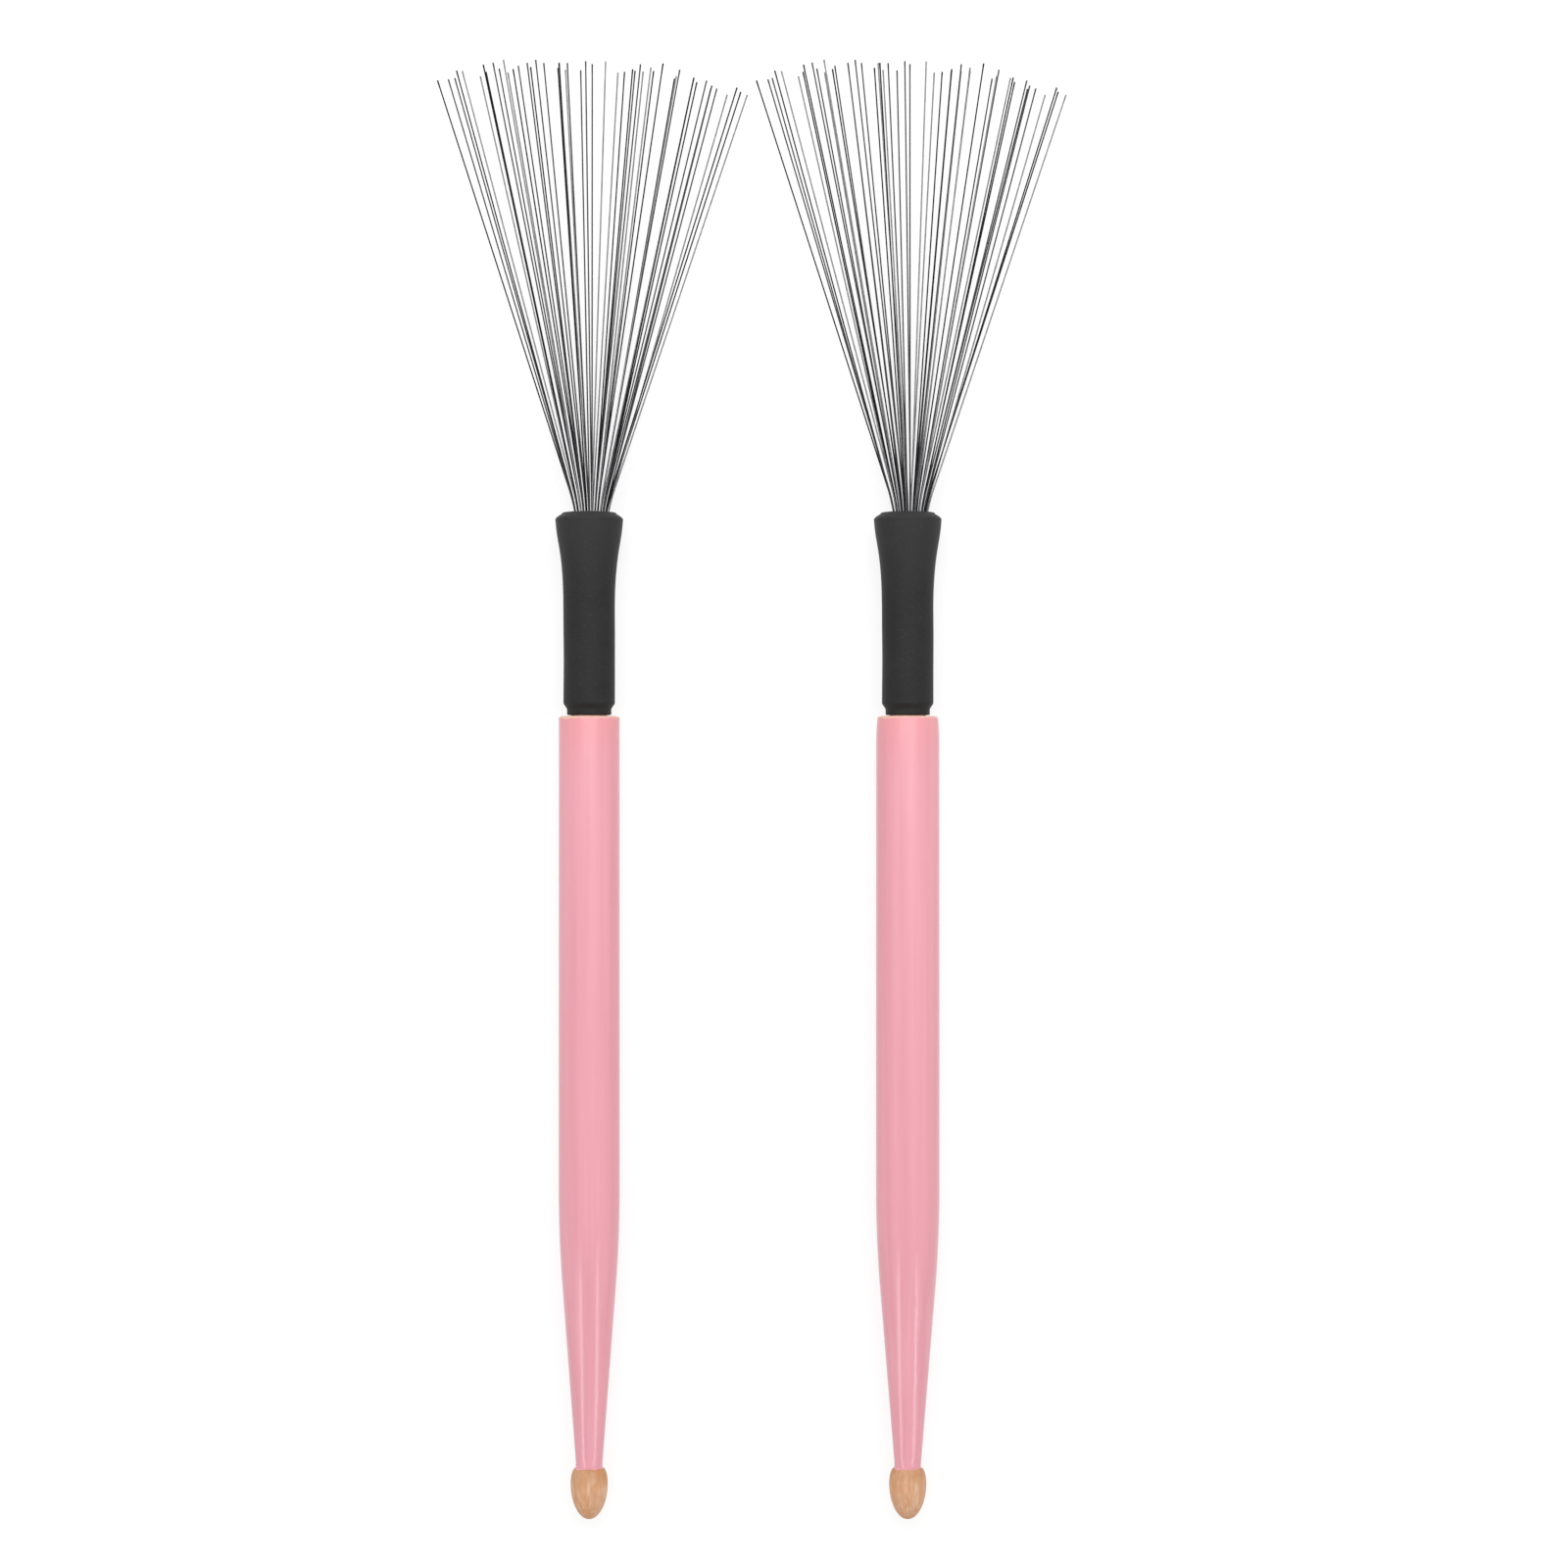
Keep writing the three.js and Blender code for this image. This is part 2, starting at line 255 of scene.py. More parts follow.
def drill(piece, centre, radius):
    """Cuts a hole along X right through a piece, and closes up the tiny edges that the cut leaves."""
    bm = bmesh.new()
    cross_pin_mesh(bm, centre, radius, 2 * MOUTH_R * MM, 0)
    cutter = finished("cutter", bm, [])
    modifier = piece.modifiers.new("hole", "BOOLEAN")
    modifier.operation = "DIFFERENCE"
    modifier.solver = "EXACT"
    modifier.object = cutter
    cut = bpy.data.meshes.new_from_object(piece.evaluated_get(bpy.context.evaluated_depsgraph_get()))
    piece.modifiers.clear()
    piece.data = cut
    bpy.data.objects.remove(cutter)
    bm = bmesh.new()
    bm.from_mesh(cut)
    bmesh.ops.remove_doubles(bm, verts=bm.verts, dist=SLIVER * MM)
    bmesh.ops.dissolve_degenerate(bm, edges=bm.edges, dist=SLIVER * MM)
    bm.to_mesh(cut)
    bm.free()


def sharpened(piece, degrees=35):
    """Marks edges sharper than an angle, so that the smooth shading stops at them."""
    bm = bmesh.new()
    bm.from_mesh(piece.data)
    for edge in bm.edges:
        edge.smooth = len(edge.link_faces) == 2 and edge.calc_face_angle(0) < math.radians(degrees)
    bm.to_mesh(piece.data)
    bm.free()


# Materials ------------------------------------------------------------------------------------------


class Nodes:
    """A material and its node tree, with short ways to add to it."""

    def __init__(self, name):
        self.material = bpy.data.materials.new(name)
        self.material.use_nodes = True
        self.tree = self.material.node_tree
        self.shader = self.tree.nodes["Principled BSDF"]
        self.place = self.add("ShaderNodeTexCoord").outputs["Object"]

    def along(self):
        """The place along the brushes."""
        return self.add("ShaderNodeSeparateXYZ", {"Vector": self.place}).outputs["Y"]

    def add(self, kind, inputs=None, **settings):
        node = self.tree.nodes.new(kind)
        for key, value in settings.items():
            setattr(node, key, value)
        for key, value in (inputs or {}).items():
            if isinstance(value, bpy.types.NodeSocket):
                self.tree.links.new(value, node.inputs[key])
            else:
                node.inputs[key].default_value = value
        return node

    def stretched(self, scale, shift=(0, 0, 0)):
        """Places scaled by axis, so that noise over them is drawn out along the smallest scale."""
        mapped = self.add("ShaderNodeMapping", {"Vector": self.place, "Scale": scale, "Location": shift})
        return mapped.outputs["Vector"]

    def noise(self, vector, scale, detail=4.0, roughness=0.55):
        inputs = {"Vector": vector, "Scale": scale, "Detail": detail, "Roughness": roughness}
        return self.add("ShaderNodeTexNoise", inputs).outputs["Fac"]

    def span(self, value, low, high, from_low=0.3, from_high=0.7):
        """value, from one range to another."""
        inputs = {"Value": value, "From Min": from_low, "From Max": from_high, "To Min": low, "To Max": high}
        return self.add("ShaderNodeMapRange", inputs).outputs["Result"]

    def blend(self, share, first, second):
        """The colour a share of the way from first to second."""
        node = self.add("ShaderNodeMix", data_type="RGBA")
        for socket, value in ((node.inputs[0], share), (node.inputs[6], first), (node.inputs[7], second)):
            if isinstance(value, bpy.types.NodeSocket):
                self.tree.links.new(value, socket)
            else:
                socket.default_value = value
        return node.outputs[2]

    def bump(self, height, distance, strength=1.0, normal=None):
        inputs = {"Height": height, "Distance": distance, "Strength": strength}
        if normal:
            inputs["Normal"] = normal
        return self.add("ShaderNodeBump", inputs).outputs["Normal"]

    def finish(self, **sockets):
        """Sets the shader's sockets, named with underscores, and returns the material."""
        for key, value in sockets.items():
            socket = self.shader.inputs[key.replace("_", " ")]
            if isinstance(value, bpy.types.NodeSocket):
                self.tree.links.new(value, socket)
            else:
                socket.default_value = value
        return self.material


def linear(red, green, blue):
    """A colour from its 0 to 255 screen values."""
    parts = (channel / 255 for channel in (red, green, blue))
    return (*(p / 12.92 if p <= 0.04045 else ((p + 0.055) / 1.055) ** 2.4 for p in parts), 1.0)


def lacquer():
    """Pink lacquer over wood: the grain shows as faint long streaks and slight ridges.

    It turns to coral towards the butt.
    """
    n = Nodes("pink_lacquer")
    streaks = n.noise(n.stretched((420, 9, 420)), 1.0, detail=5)
    clouds = n.noise(n.place, 26.0, detail=2)
    tint = n.blend(n.span(streaks, 0.0, 1.0), linear(210, 145, 156), linear(220, 156, 167))
    tint = n.blend(n.span(clouds, 0.0, 0.3), tint, linear(219, 148, 158))
    butt = n.span(n.along(), 0.0, 0.7, BUTT_PLACE - CORAL_REACH, BUTT_PLACE)
    tint = n.blend(butt, tint, linear(219, 146, 150))
    peel = n.noise(n.stretched((900, 300, 900)), 1.0, detail=2)
    relief = n.bump(streaks, 0.02 * MM, 0.6)
    return n.finish(
        Base_Color=tint,
        Roughness=n.span(streaks, 0.15, 0.21),
        Normal=n.bump(peel, 0.01 * MM, 0.4, relief),
        IOR=1.45,
        Specular_IOR_Level=0.35,
    )


def bare_wood(name, pale, warm, dark, soaked=None):
    """Turned hardwood: short soft streaks along the stick, faint growth layers and fine open pores.

    soaked is a tint, and the places along the brushes between which it comes in, for wood that the
    lacquer has soaked into.
    """
    n = Nodes(name)
    layers = n.add(
        "ShaderNodeTexWave",
        {
            "Vector": n.stretched((1, 0.3, 1), (0.021, 0, 0.034)),
            "Scale": 330.0,
            "Distortion": 9.0,
            "Detail": 3.0,
            "Detail Scale": 1.4,
        },
        wave_type="RINGS",
        rings_direction="Y",
    ).outputs["Fac"]
    streaks = n.noise(n.stretched((1000, 190, 1000)), 1.0, detail=4, roughness=0.6)
    clouds = n.noise(n.place, 210.0, detail=3)
    pores = n.noise(n.stretched((2600, 220, 2600)), 1.0, detail=3)
    tint = n.blend(n.span(streaks, 0.0, 1.0, 0.36, 0.62), pale, warm)
    tint = n.blend(n.span(clouds, 0.0, 0.6, 0.42, 0.62), tint, warm)
    tint = n.blend(n.span(layers, 0.0, 0.22, 0.0, 1.0), tint, dark)
    if soaked:
        stain, start, end = soaked
        depth = n.span(n.along(), 0.0, 1.0, start, end)
        patches = n.add("ShaderNodeMath", {0: depth, 1: clouds}, operation="MULTIPLY")
        tint = n.blend(patches.outputs["Value"], tint, stain)
    tint = n.blend(n.span(pores, 0.45, 0.0, 0.3, 0.44), tint, dark)
    relief = n.bump(pores, 0.03 * MM, 0.7)
    return n.finish(
        Base_Color=tint,
        Roughness=n.span(pores, 0.5, 0.68),
        Normal=n.bump(streaks, 0.02 * MM, 0.4, relief),
        IOR=1.4,
    )


def rubber():
    """Matt dark rubber with a fine leathery grain and specks of dust, and a painted sheen: it is lightened
    towards the mouth.
    """
    n = Nodes("sleeve_rubber")
    mottle = n.noise(n.place, 240.0, detail=5, roughness=0.6)
    dust = n.noise(n.place, 1700.0, detail=2)
    tint = n.blend(n.span(mottle, 0.0, 1.0), linear(30, 30, 30), linear(37, 37, 37))
    tint = n.blend(n.span(dust, 0.0, 0.35, 0.58, 0.75), tint, linear(60, 60, 60))
    # painted sheen: a lighter grey over the rubber towards the mouth, standing in for the light on the
    # flaring bell
    painted_sheen = n.span(n.along(), 0.0, 0.25, MOUTH_PLACE - PAINTED_SHEEN["start"], MOUTH_PLACE - PAINTED_SHEEN["full"])
    tint = n.blend(painted_sheen, tint, linear(60, 60, 60))
    grain = n.noise(n.place, 2600.0, detail=3)
    return n.finish(
        Base_Color=tint,
        Roughness=n.span(mottle, 0.62, 0.74),
        Normal=n.bump(grain, 0.02 * MM, 0.6),
        IOR=1.45,
        Specular_IOR_Level=0.25,
        Sheen_Weight=0.06,
        Sheen_Roughness=0.35,
    )


def steel(name, shade, stretch, roughness):
    """Bare steel with the marks of drawing or turning, which run along the smallest scale of stretch."""
    n = Nodes(name)
    marks = n.noise(n.stretched(stretch), 1.0, detail=4)
    spots = n.noise(n.place, 900.0, detail=2)
    bright = linear(shade, shade, shade + 3)
    dull = linear(0.7 * shade, 0.7 * shade, 0.7 * shade + 2)
    tint = n.blend(n.span(marks, 0.0, 1.0), dull, bright)
    tint = n.blend(n.span(spots, 0.0, 0.3, 0.5, 0.8), tint, dull)
    return n.finish(
        Base_Color=tint,
        Metallic=1.0,
        Roughness=n.span(marks, roughness - 0.06, roughness + 0.08),
    )


LACQUER = lacquer()
BEAD_WOOD = bare_wood(
    "bead_wood",
    linear(212, 176, 149),
    linear(200, 148, 108),
    linear(184, 128, 90),
    soaked=(linear(155, 106, 62), NECK_PLACE - STAIN_REACH, NECK_PLACE),
)
BUTT_WOOD = bare_wood("butt_wood", linear(222, 188, 170), linear(214, 172, 152), linear(200, 152, 132))
RUBBER = rubber()
FERRULE_STEEL = steel("ferrule_steel", 200, (700, 60, 700), 0.32)
PIN_STEEL = steel("pin_steel", 185, (60, 900, 900), 0.3)
# The wires' shades are partly their own tarnish, which differs from wire to wire, and partly painted
# reflection: they are darker than bare steel, standing in for the dark surroundings that real wires reflect,
# and spread from near black to bright to paint the dark and bright lines of those reflections.
WIRE_STEELS = [
    steel(f"wire_steel_{tone}", shade, (5000, 220, 5000), roughness)
    for tone, shade, roughness in (("tarnish_and_dark_reflection", 26, 0.36), ("plain", 68, 0.32), ("bright", 140, 0.26))
]
WIRE_TONES = (0, 2, 1, 0, 1, 2, 1)  # of neighbouring wires, by their place in that list


# The turned pieces ----------------------------------------------------------------------------------


def stick_profile(shank_r):
    """The stick's profile, and the indices of the points where the lacquer starts and ends."""
    bead = joined(
        arc((0, BEAD_WIDEST), (BEAD_R, BEAD_WIDEST), -90, 0, 40),
        arc((NECK_R, BEAD_WIDEST), (BEAD_R - NECK_R, NECK_STATION - BEAD_WIDEST), 0, BEAD_BACK, 20),
    )
    neck_end = (NECK_R + NECK_EASE["out"], NECK_STATION + NECK_EASE["along"])
    taper_end = (TAPER["share"] * shank_r, TAPER["end"])
    shank_start = (shank_r, TAPER["shank"])
    shank_end = (shank_r, SHANK["thickest_until"])
    butt_start = (shank_r - SHANK["narrowing"], SHANK["butt_start"])
    body = joined(
        curve([bead[-1], (NECK_R, NECK_STATION), neck_end], 6),
        line(neck_end, taper_end, 40),
        curve([taper_end, (shank_r, TAPER["corner"]), shank_start], 24),
        line(shank_start, shank_end, 12),
        line(shank_end, butt_start, 24),
        curve([butt_start, (butt_start[0], BUTT_STATION - BUTT_EASE), (BUTT_R, BUTT_STATION)], 12),
    )
    across, along = BUTT_ROUND["across"], BUTT_ROUND["along"]
    rounding = arc((BUTT_R - across, BUTT_STATION), (across, along), 0, 90, 8)
    shoulder = BUTT_STATION + along
    tenon = joined(
        line(rounding[-1], (TENON_R + TENON_ROOT, shoulder), 4),
        line((TENON_R, shoulder + TENON_ROOT), (TENON_R, TENON_END - TENON_CHAMFER), 12),
        line((TENON_R, TENON_END - TENON_CHAMFER), (TENON_R - TENON_CHAMFER, TENON_END), 2),
        line((TENON_R - TENON_CHAMFER, TENON_END), (0, TENON_END), 4),
    )
    profile = joined(bead, body, rounding, tenon)
    return profile, len(bead) - 2, len(bead) + len(body) - 1


def stick(side, axis):
    """The turned stick, lacquered between its bead and its butt's rounding."""
    profile, start, end = stick_profile(SHANK_R[side])
    edges = length_at(profile, start), length_at(profile, end)
    rim = edges[0] + PAINT_BEAD["behind"]

    def near(length, edge, reach):
        return math.exp(-(((length - edge) / reach) ** 2))

    def slide(length, turn):
        wave = math.sin(2 * turn + 0.6) + 0.6 * math.sin(5 * turn + 2.1) + 0.35 * math.sin(9 * turn)
        return sum(PAINT_WAVE["height"] * wave * near(length, edge, PAINT_WAVE["reach"]) for edge in edges)

    def swell(length, turn):
        drips = 0.7 + 0.5 * math.sin(3 * turn + 1.3) + 0.3 * math.sin(7 * turn)
        return PAINT_BEAD["height"] * drips * near(length, rim, PAINT_BEAD["reach"])

    def zone(ring):
        return 0 if ring < start else 1 if ring < end else 2

    piece = turned(f"{side}_stick_wood", profile, axis, [BEAD_WOOD, LACQUER, BUTT_WOOD], slide, swell, zone)
    drill(piece, pin_centre(f"{side}_lock_pin"), pin_radius(f"{side}_lock_pin") + PIN_CLEARANCE * MM)
    sharpened(piece)
    return piece


def sleeve_stations(side, axis):
    """Where the sleeve starts and ends along its brush."""
    low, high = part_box(f"{side}_sleeve")
    return (low.y - axis.y) / MM, (high.y - axis.y) / MM


def bell(start_radius, end_radius, sleeve_end, steps):
    """The ferrule's flare, inside or outside, from the straight tube to the bell's edge."""
    start, corner, end = (sleeve_end - BELL_BACK[name] for name in ("start", "corner", "end"))
    return curve([(start_radius, start), (start_radius, corner), (end_radius, end)], steps)


def ferrule(side, axis):
    """The bell-mouthed steel tube under the sleeve, with holes for its two pins."""
    end = sleeve_stations(side, axis)[1]
    bore = FERRULE_R - FERRULE_WALL
    outside = bell(FERRULE_R, BELL_R, end, 20)
    inside = bell(bore, BELL_R - FERRULE_WALL, end, 20)[::-1]
    rim = (BELL_R - FERRULE_WALL / 2, outside[-1][1])
    profile = joined(
        line((FERRULE_R, FERRULE_START), outside[0], 10),
        outside,
        arc(rim, (FERRULE_WALL / 2, FERRULE_WALL / 2), 0, 180, 8)[1:-1],
        inside,
        line(inside[-1], (bore, FERRULE_START), 10),
        line((bore, FERRULE_START), (FERRULE_R, FERRULE_START), 2),
    )
    piece = turned(f"{side}_ferrule_tube", profile, axis, [FERRULE_STEEL])
    for pin in ("lock_pin", "loop_pin"):
        drill(piece, pin_centre(f"{side}_{pin}"), pin_radius(f"{side}_{pin}") + PIN_CLEARANCE * MM)
    sharpened(piece)
    return piece


def sleeve_outside(start, end):
    """The sleeve's outside from its end at the butt to its mouth's rim."""
    neck_top = start + SLEEVE_NECK
    shoulder_top = neck_top + SLEEVE_SHOULDER
    hem = SLEEVE_HEM["outside"]
    waist = (SLEEVE_NECK_R, neck_top)
    waist_pull = (SLEEVE_NECK_R + WAIST_FILLET["out"], neck_top + WAIST_FILLET["along"] / 2)
    waist_end = (SLEEVE_NECK_R + WAIST_FILLET["across"], neck_top + WAIST_FILLET["along"])
    shoulder = (SLEEVE_R - SHOULDER_ROUND["across"], shoulder_top - SHOULDER_ROUND["before"])
    tube = (SLEEVE_R, shoulder_top + SHOULDER_ROUND["after"])
    flare, bend, rim = (end - FLARE_BACK[name] for name in ("start", "corner", "end"))
    rim_edge = (MOUTH_R - RIM_ROUND["across"], rim)
    rim_start = (MOUTH_R, rim + RIM_ROUND["along"])
    return joined(
        arc((SLEEVE_NECK_R - hem, start + hem), (hem, hem), 270, 360, 5),
        line((SLEEVE_NECK_R, start + hem), waist, 3),
        curve([waist, waist_pull, waist_end], 4),
        line(waist_end, shoulder, 4),
        curve([shoulder, (SLEEVE_R, shoulder_top), tube], 4),
        line(tube, (SLEEVE_R, flare), 24),
        curve([(SLEEVE_R, flare), (SLEEVE_R, bend), (FLARE_PULL_R, bend), rim_edge], 40),
        curve([rim_edge, (MOUTH_R, rim + RIM_ROUND["corner"]), rim_start], 3),
    )


def sleeve_lip(end):
    """The mouth from its rim over the lip to the flat of the lip's inside."""
    rim_start = (MOUTH_R, end - FLARE_BACK["end"] + RIM_ROUND["along"])
    rim_top = (MOUTH_R, end - RIM_BACK - RIM_ROUND["corner"])
    slope = (RIM_SLOPE["radius"], end - RIM_SLOPE["back"])
    foot = (LIP["outer"] + LIP["foot"], end - LIP["height"])
    outer = LIP["outer"] - LIP_EDGE
    inner = LIP["inner"] + LIP_EDGE
    edge = end - LIP_EDGE
    inside = (LIP["inner"], end - LIP["thickness"])
    return joined(
        line(rim_start, rim_top, 2),
        curve([rim_top, slope, foot], 10),
        curve([foot, (LIP["outer"], end - LIP_FOOT_BACK), (LIP["outer"], edge)], 3),
        arc((outer, edge), (LIP_EDGE, LIP_EDGE), 0, 90, 5),
        arc((inner, edge), (LIP_EDGE, LIP_EDGE), 90, 180, 5),
        line((LIP["inner"], edge), inside, 2),
    )


def sleeve_inside(start, end):
    """The sleeve's inside, SKIN_GAP clear of the ferrule and the tenon, from the lip to the butt's end."""
    hem = SLEEVE_HEM["inside"]
    inner = TENON_R + SKIN_GAP
    bore = FERRULE_R + SKIN_GAP
    mouth = BELL_R + SKIN_GAP
    lip = end - LIP["thickness"]
    ledge = FERRULE_START - SKIN_GAP
    return joined(
        line((LIP["inner"], lip), (mouth, lip), 3),
        line((mouth, lip), (mouth, end - BELL_BACK["end"]), 1),
        bell(bore, mouth, end, 20)[::-1],
        line((bore, end - BELL_BACK["start"]), (bore, ledge), 10),
        line((bore, ledge), (inner, ledge), 2),
        line((inner, ledge), (inner, start + hem), 4),
    )


def sleeve(side, axis):
    """The rubber sleeve, a closed skin whose outside ripples slightly."""
    start, end = sleeve_stations(side, axis)
    hem = SLEEVE_HEM["inside"]
    inner = TENON_R + SKIN_GAP
    profile = joined(
        arc((inner + hem, start + hem), (hem, hem), 180, 270, 4),
        sleeve_outside(start, end),
        sleeve_lip(end),
        sleeve_inside(start, end),
    )
    outside = sum(1 for radius, _ in profile[: len(profile) // 2] if radius > inner)
    covered = length_at(profile, outside)

    def swell(length, turn):
        if not RIPPLE_START < length < covered:
            return 0
        ripple = math.sin(3 * turn + 0.21 * length) + 0.6 * math.sin(2 * turn - 0.34 * length)
        return SLEEVE_RIPPLE * ripple * math.sin(math.pi * length / covered) ** 0.5

    piece = turned(f"{side}_sleeve_skin", profile, axis, [RUBBER], swell=swell)
    sharpened(piece, 50)
    return piece


def pin_centre(node):
    """The middle of a pin of the CAD."""
    low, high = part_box(node)
    return (low + high) / 2


def pin_radius(node):
    """The radius of a pin of the CAD."""
    low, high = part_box(node)
    return (high.z - low.z) / 2


def cross_pin(side, kind):
    """A steel pin across the ferrule, at its CAD solid's place and size."""
    node = f"{side}_{kind}"
    low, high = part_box(node)
    bm = bmesh.new()
    cross_pin_mesh(bm, pin_centre(node), pin_radius(node), (high.x - low.x) / 2, PIN_CHAMFER * MM)
    piece = finished(f"{node}_rod", bm, [PIN_STEEL])
    sharpened(piece)
    return piece


# The wires ------------------------------------------------------------------------------------------


def middle_of(points):
    """The middle of a ring of vertices, however often each is repeated."""
    return (points.min(0) + points.max(0)) / 2


def strand(vertices, pin, above):
    """The course of one strand from the loop pin to its tip, from its CAD solid's two ends.

    It leaves the pin parallel to the axis, bends steadily as far as STRAIGHT_FROM and then runs straight.
    """
    own = vertices[(vertices[:, 2] > pin.z) == above]
    tip = middle_of(own[own[:, 1] > own[:, 1].max() - WIRE_R])
    root = middle_of(own[abs(own[:, 1] - pin.y) < WIRE_R / 2])
    reach = tip[1] - root[1]

    def run(distance):
        return distance**2 / (2 * STRAIGHT_FROM) if distance < STRAIGHT_FROM else distance - STRAIGHT_FROM / 2

    slope = (tip - root) / run(reach)
    bend = np.linspace(0, STRAIGHT_FROM, BEND_STEPS, endpoint=False)
    straight = np.linspace(STRAIGHT_FROM, reach, STRAND_STEPS)
    return [
        np.array((root[0] + slope[0] * run(d), root[1] + d, root[2] + slope[2] * run(d)))
        for d in (*bend, *straight)
    ]


def loop(upper, lower):
    """The half turn behind the loop pin, between the roots of the two strands."""
    middle = (upper + lower) / 2
    half = (upper - lower) / 2
    radius = abs(half[2])
    turns = np.linspace(0, math.pi, LOOP_STEPS + 1)[1:-1]
    return [middle + half * math.cos(t) - np.array((0, radius * math.sin(t), 0)) for t in turns]


def wire(node, pin, name, material):
    """A hairpin of round wire along its CAD solid's course, with slightly burred ends."""
    vertices = np.array([v.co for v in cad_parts[node].data.vertices])
    upper, lower = (strand(vertices, pin, above) for above in (True, False))
    course = np.array(upper[::-1] + loop(upper[0], lower[0]) + lower)
    tangents = np.gradient(course, axis=0)
    bm = bmesh.new()
    rings = []
    last = len(course) - 1
    for index, (point, tangent) in enumerate(zip(course, tangents)):
        along = Vector(tangent).normalized()
        across = Vector((1, 0, 0)) - along * along.x
        across.normalize()
        third = along.cross(across)
        radius = WIRE_R * (BURR if index in (0, last) else 1)
        turns = np.arange(WIRE_SIDES) * 2 * math.pi / WIRE_SIDES
        ring = [
            bm.verts.new(Vector(point) + radius * (math.cos(t) * across + math.sin(t) * third)) for t in turns
        ]
        rings.append(ring)
    for ring, next_ring in zip(rings, rings[1:]):
        bridge(bm, ring, next_ring)
    bm.faces.new(rings[0])
    bm.faces.new(rings[-1])
    piece = finished(name, bm, [material])
    sharpened(piece, 60)
    return piece


# Assembly -------------------------------------------------------------------------------------------


def stand_in(piece, body, node):
    """Fixes a piece to a body, in its CAD solid's stead."""
    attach(piece, body)
    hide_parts(node)


def brush(side):
    """All the pieces of one brush, its wires following the fan."""
    low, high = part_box(f"{side}_stick")
    axis = Vector(((low.x + high.x) / 2, low.y, (low.z + high.z) / 2))
    body = f"{side}_brush"
    stand_in(stick(side, axis), body, f"{side}_stick")
    stand_in(ferrule(side, axis), body, f"{side}_ferrule")
    stand_in(sleeve(side, axis), body, f"{side}_sleeve")
    for kind in ("lock_pin", "loop_pin"):
        stand_in(cross_pin(side, kind), body, f"{side}_{kind}")
    pin = pin_centre(f"{side}_loop_pin")
    wires = [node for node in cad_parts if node.startswith(side) and "_wire_" in node]
    for index, node in enumerate(sorted(wires)):
        material = WIRE_STEELS[WIRE_TONES[index % len(WIRE_TONES)]]
        piece = wire(node, pin, node.replace("_wire_", "_strand_"), material)
        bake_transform(piece)
        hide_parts(node)


# The studio -----------------------------------------------------------------------------------------

FLOOR_GAP = 0.1 * MM
FLOOR_SIZE = 12.0
FLOOR_SHADE = 0.25
FLOOR_GLOW = 0.75  # the floor is a faintly lit table, as product shots on white use
HORIZON = 0.85  # radiance of the surround
CEILING = 0.45
WALL_TOP = 0.5  # the height, as the sine of its angle, above which it is all ceiling
VIEW_HEIGHT = 0.9
VIEW_WIDTH = 0.384  # of the frame, at the height of the brushes' axes
ASIDE = 0.0087  # the pair lies this far left of the frame's middle
FRAME_MIDDLE = 0.0018

# Each softbox's place, the point it faces, its size across and along the brushes, and its radiance. The
# scrim shades the handles softly from above, and the strips draw the streaks down their tapers.
SOFTBOXES = {
    "overhead_scrim": ((0.03, 0.48, 0.78), (0.01, 0.14, 0), (1.05, 1.08), 2.88),
    "left_strip": ((-0.6, -0.42, 0.6), (0, -0.12, 0), (0.06, 0.44), 10.5),
    "right_strip": ((0.6, -0.42, 0.6), (0, -0.12, 0), (0.06, 0.44), 10.5),
}


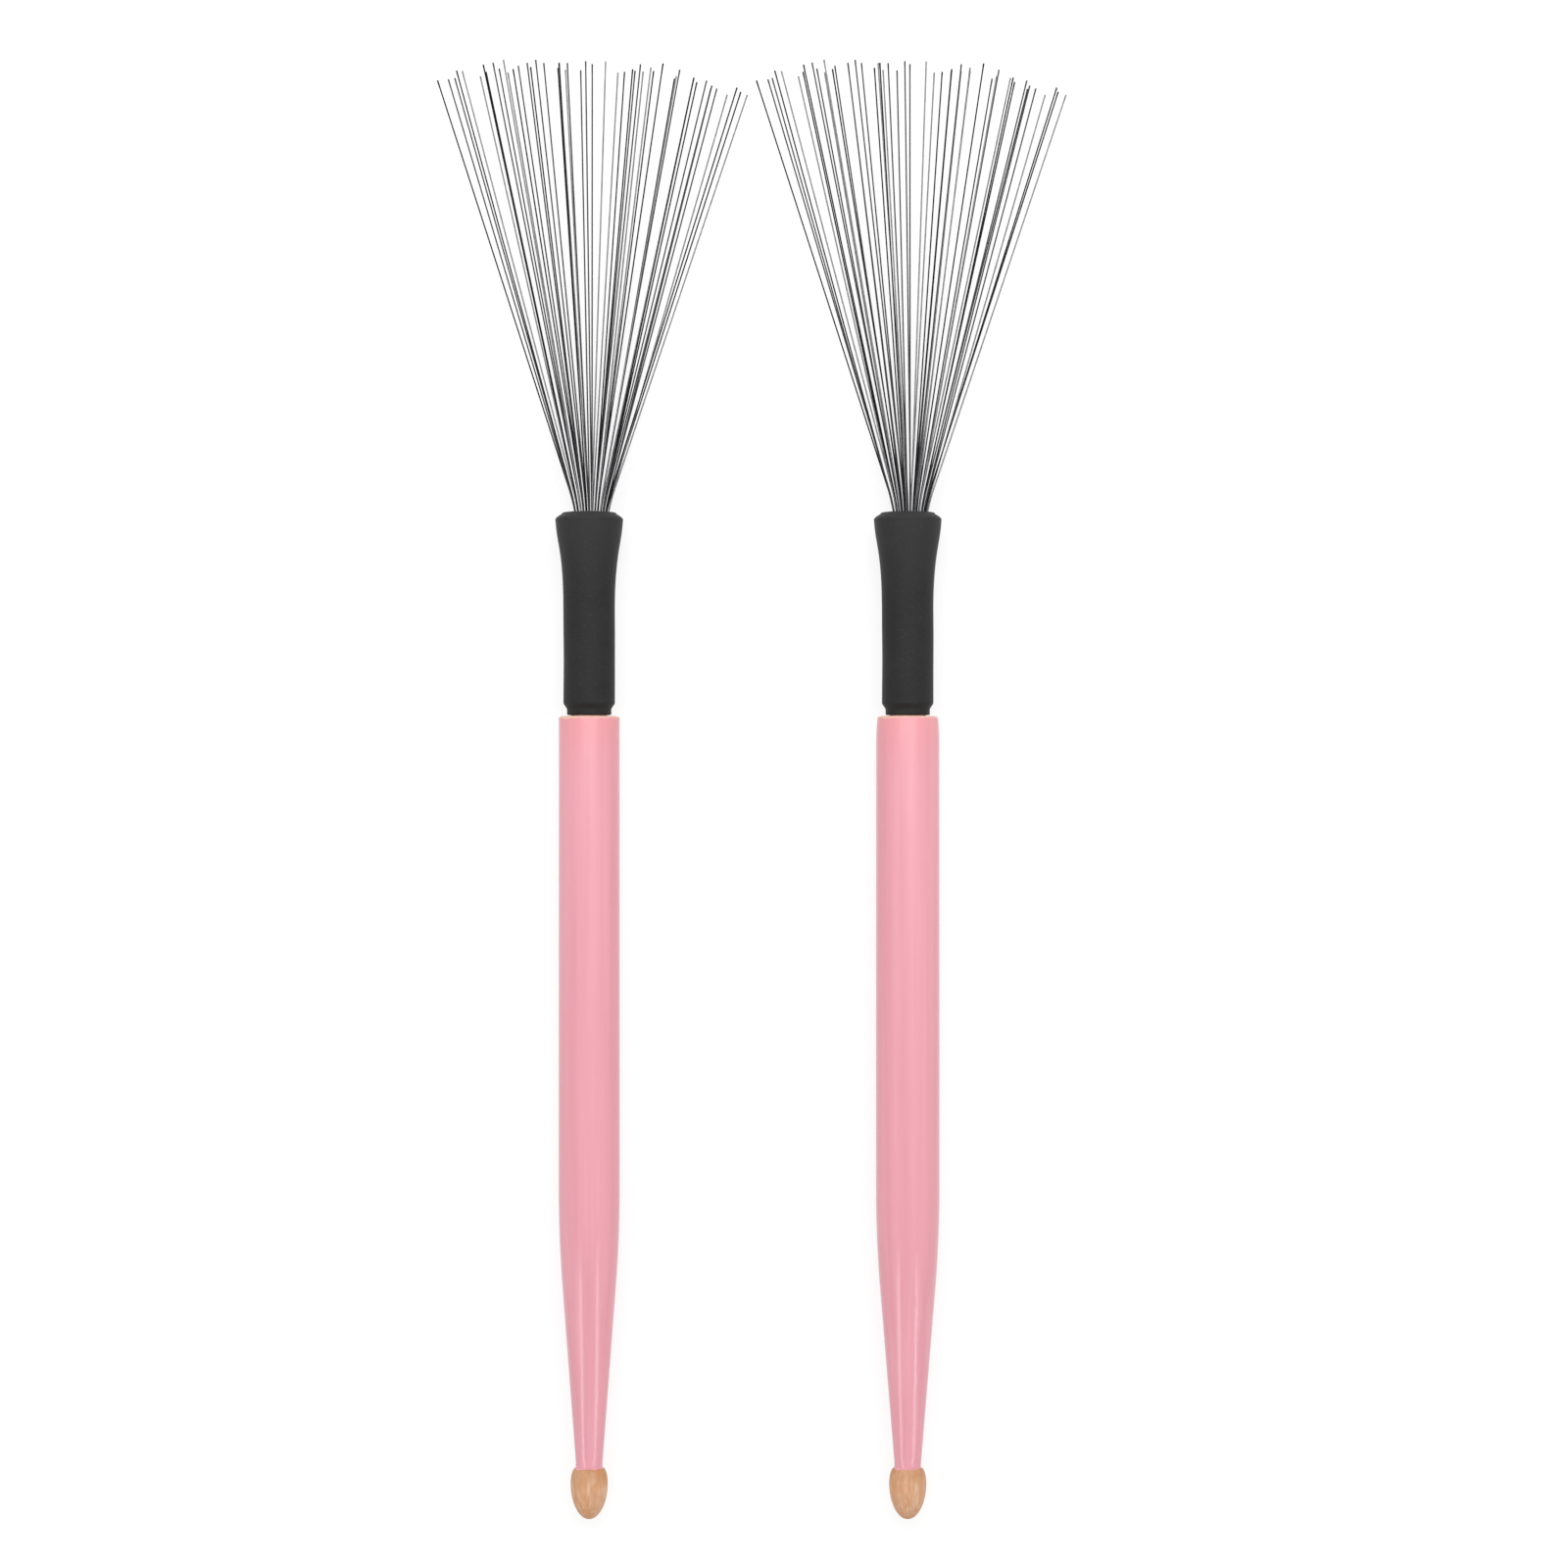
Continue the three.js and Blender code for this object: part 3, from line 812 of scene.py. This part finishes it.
def floor():
    """The pale table that the brushes lie on."""
    bm = bmesh.new()
    bmesh.ops.create_grid(bm, x_segments=1, y_segments=1, size=FLOOR_SIZE / 2)
    n = Nodes("pale_floor")
    n.finish(
        Base_Color=(FLOOR_SHADE, FLOOR_SHADE, FLOOR_SHADE, 1),
        Roughness=0.9,
        Specular_IOR_Level=0.0,
        Emission_Color=(1, 1, 1, 1),
        Emission_Strength=FLOOR_GLOW,
    )
    piece = finished("floor", bm, [n.material])
    piece.location.z = -FLOOR_GAP


def softbox(name, place, aim, size, radiance):
    """A rectangular light at place, facing aim, with its second side along the brushes."""
    away = (Vector(place) - Vector(aim)).normalized()
    data = bpy.data.lights.new(name, "AREA")
    data.shape = "RECTANGLE"
    data.size, data.size_y = size
    data.energy = radiance * size[0] * size[1] * math.pi
    lamp = bpy.data.objects.new(name, data)
    lamp.location = place
    lamp.rotation_mode = "QUATERNION"
    lamp.rotation_quaternion = away.to_track_quat("Z", "Y")
    lamp.visible_camera = False
    bpy.context.scene.collection.objects.link(lamp)


def walls():
    """A plain pale surround, as bright as the floor at the horizon and dimmer overhead."""
    world = bpy.data.worlds.new("studio")
    world.use_nodes = True
    tree = world.node_tree
    place = tree.nodes.new("ShaderNodeTexCoord")
    height = tree.nodes.new("ShaderNodeSeparateXYZ")
    fade = tree.nodes.new("ShaderNodeMapRange")
    fade.inputs["From Max"].default_value = WALL_TOP
    fade.inputs["To Min"].default_value = HORIZON
    fade.inputs["To Max"].default_value = CEILING
    tree.links.new(place.outputs["Generated"], height.inputs["Vector"])
    tree.links.new(height.outputs["Z"], fade.inputs["Value"])
    tree.links.new(fade.outputs["Result"], tree.nodes["Background"].inputs["Strength"])
    tree.nodes["Background"].inputs["Color"].default_value = (1, 1, 1, 1)
    bpy.context.scene.world = world


def studio():
    """Plain pale floor and surround, and soft light."""
    walls()
    bpy.context.scene.view_settings.view_transform = "Standard"
    floor()
    for name, settings in SOFTBOXES.items():
        softbox(name, *settings)


def camera():
    """Looks straight down on the pair."""
    axis_height = pin_centre("left_loop_pin").z
    data = bpy.data.cameras.new("camera")
    data.lens = data.sensor_width * VIEW_HEIGHT / VIEW_WIDTH
    eye = bpy.data.objects.new("camera", data)
    eye.location = (ASIDE, FRAME_MIDDLE, axis_height + VIEW_HEIGHT)
    bpy.context.scene.collection.objects.link(eye)
    bpy.context.scene.camera = eye


for brush_side in SIDES:
    brush(brush_side)
studio()
camera()
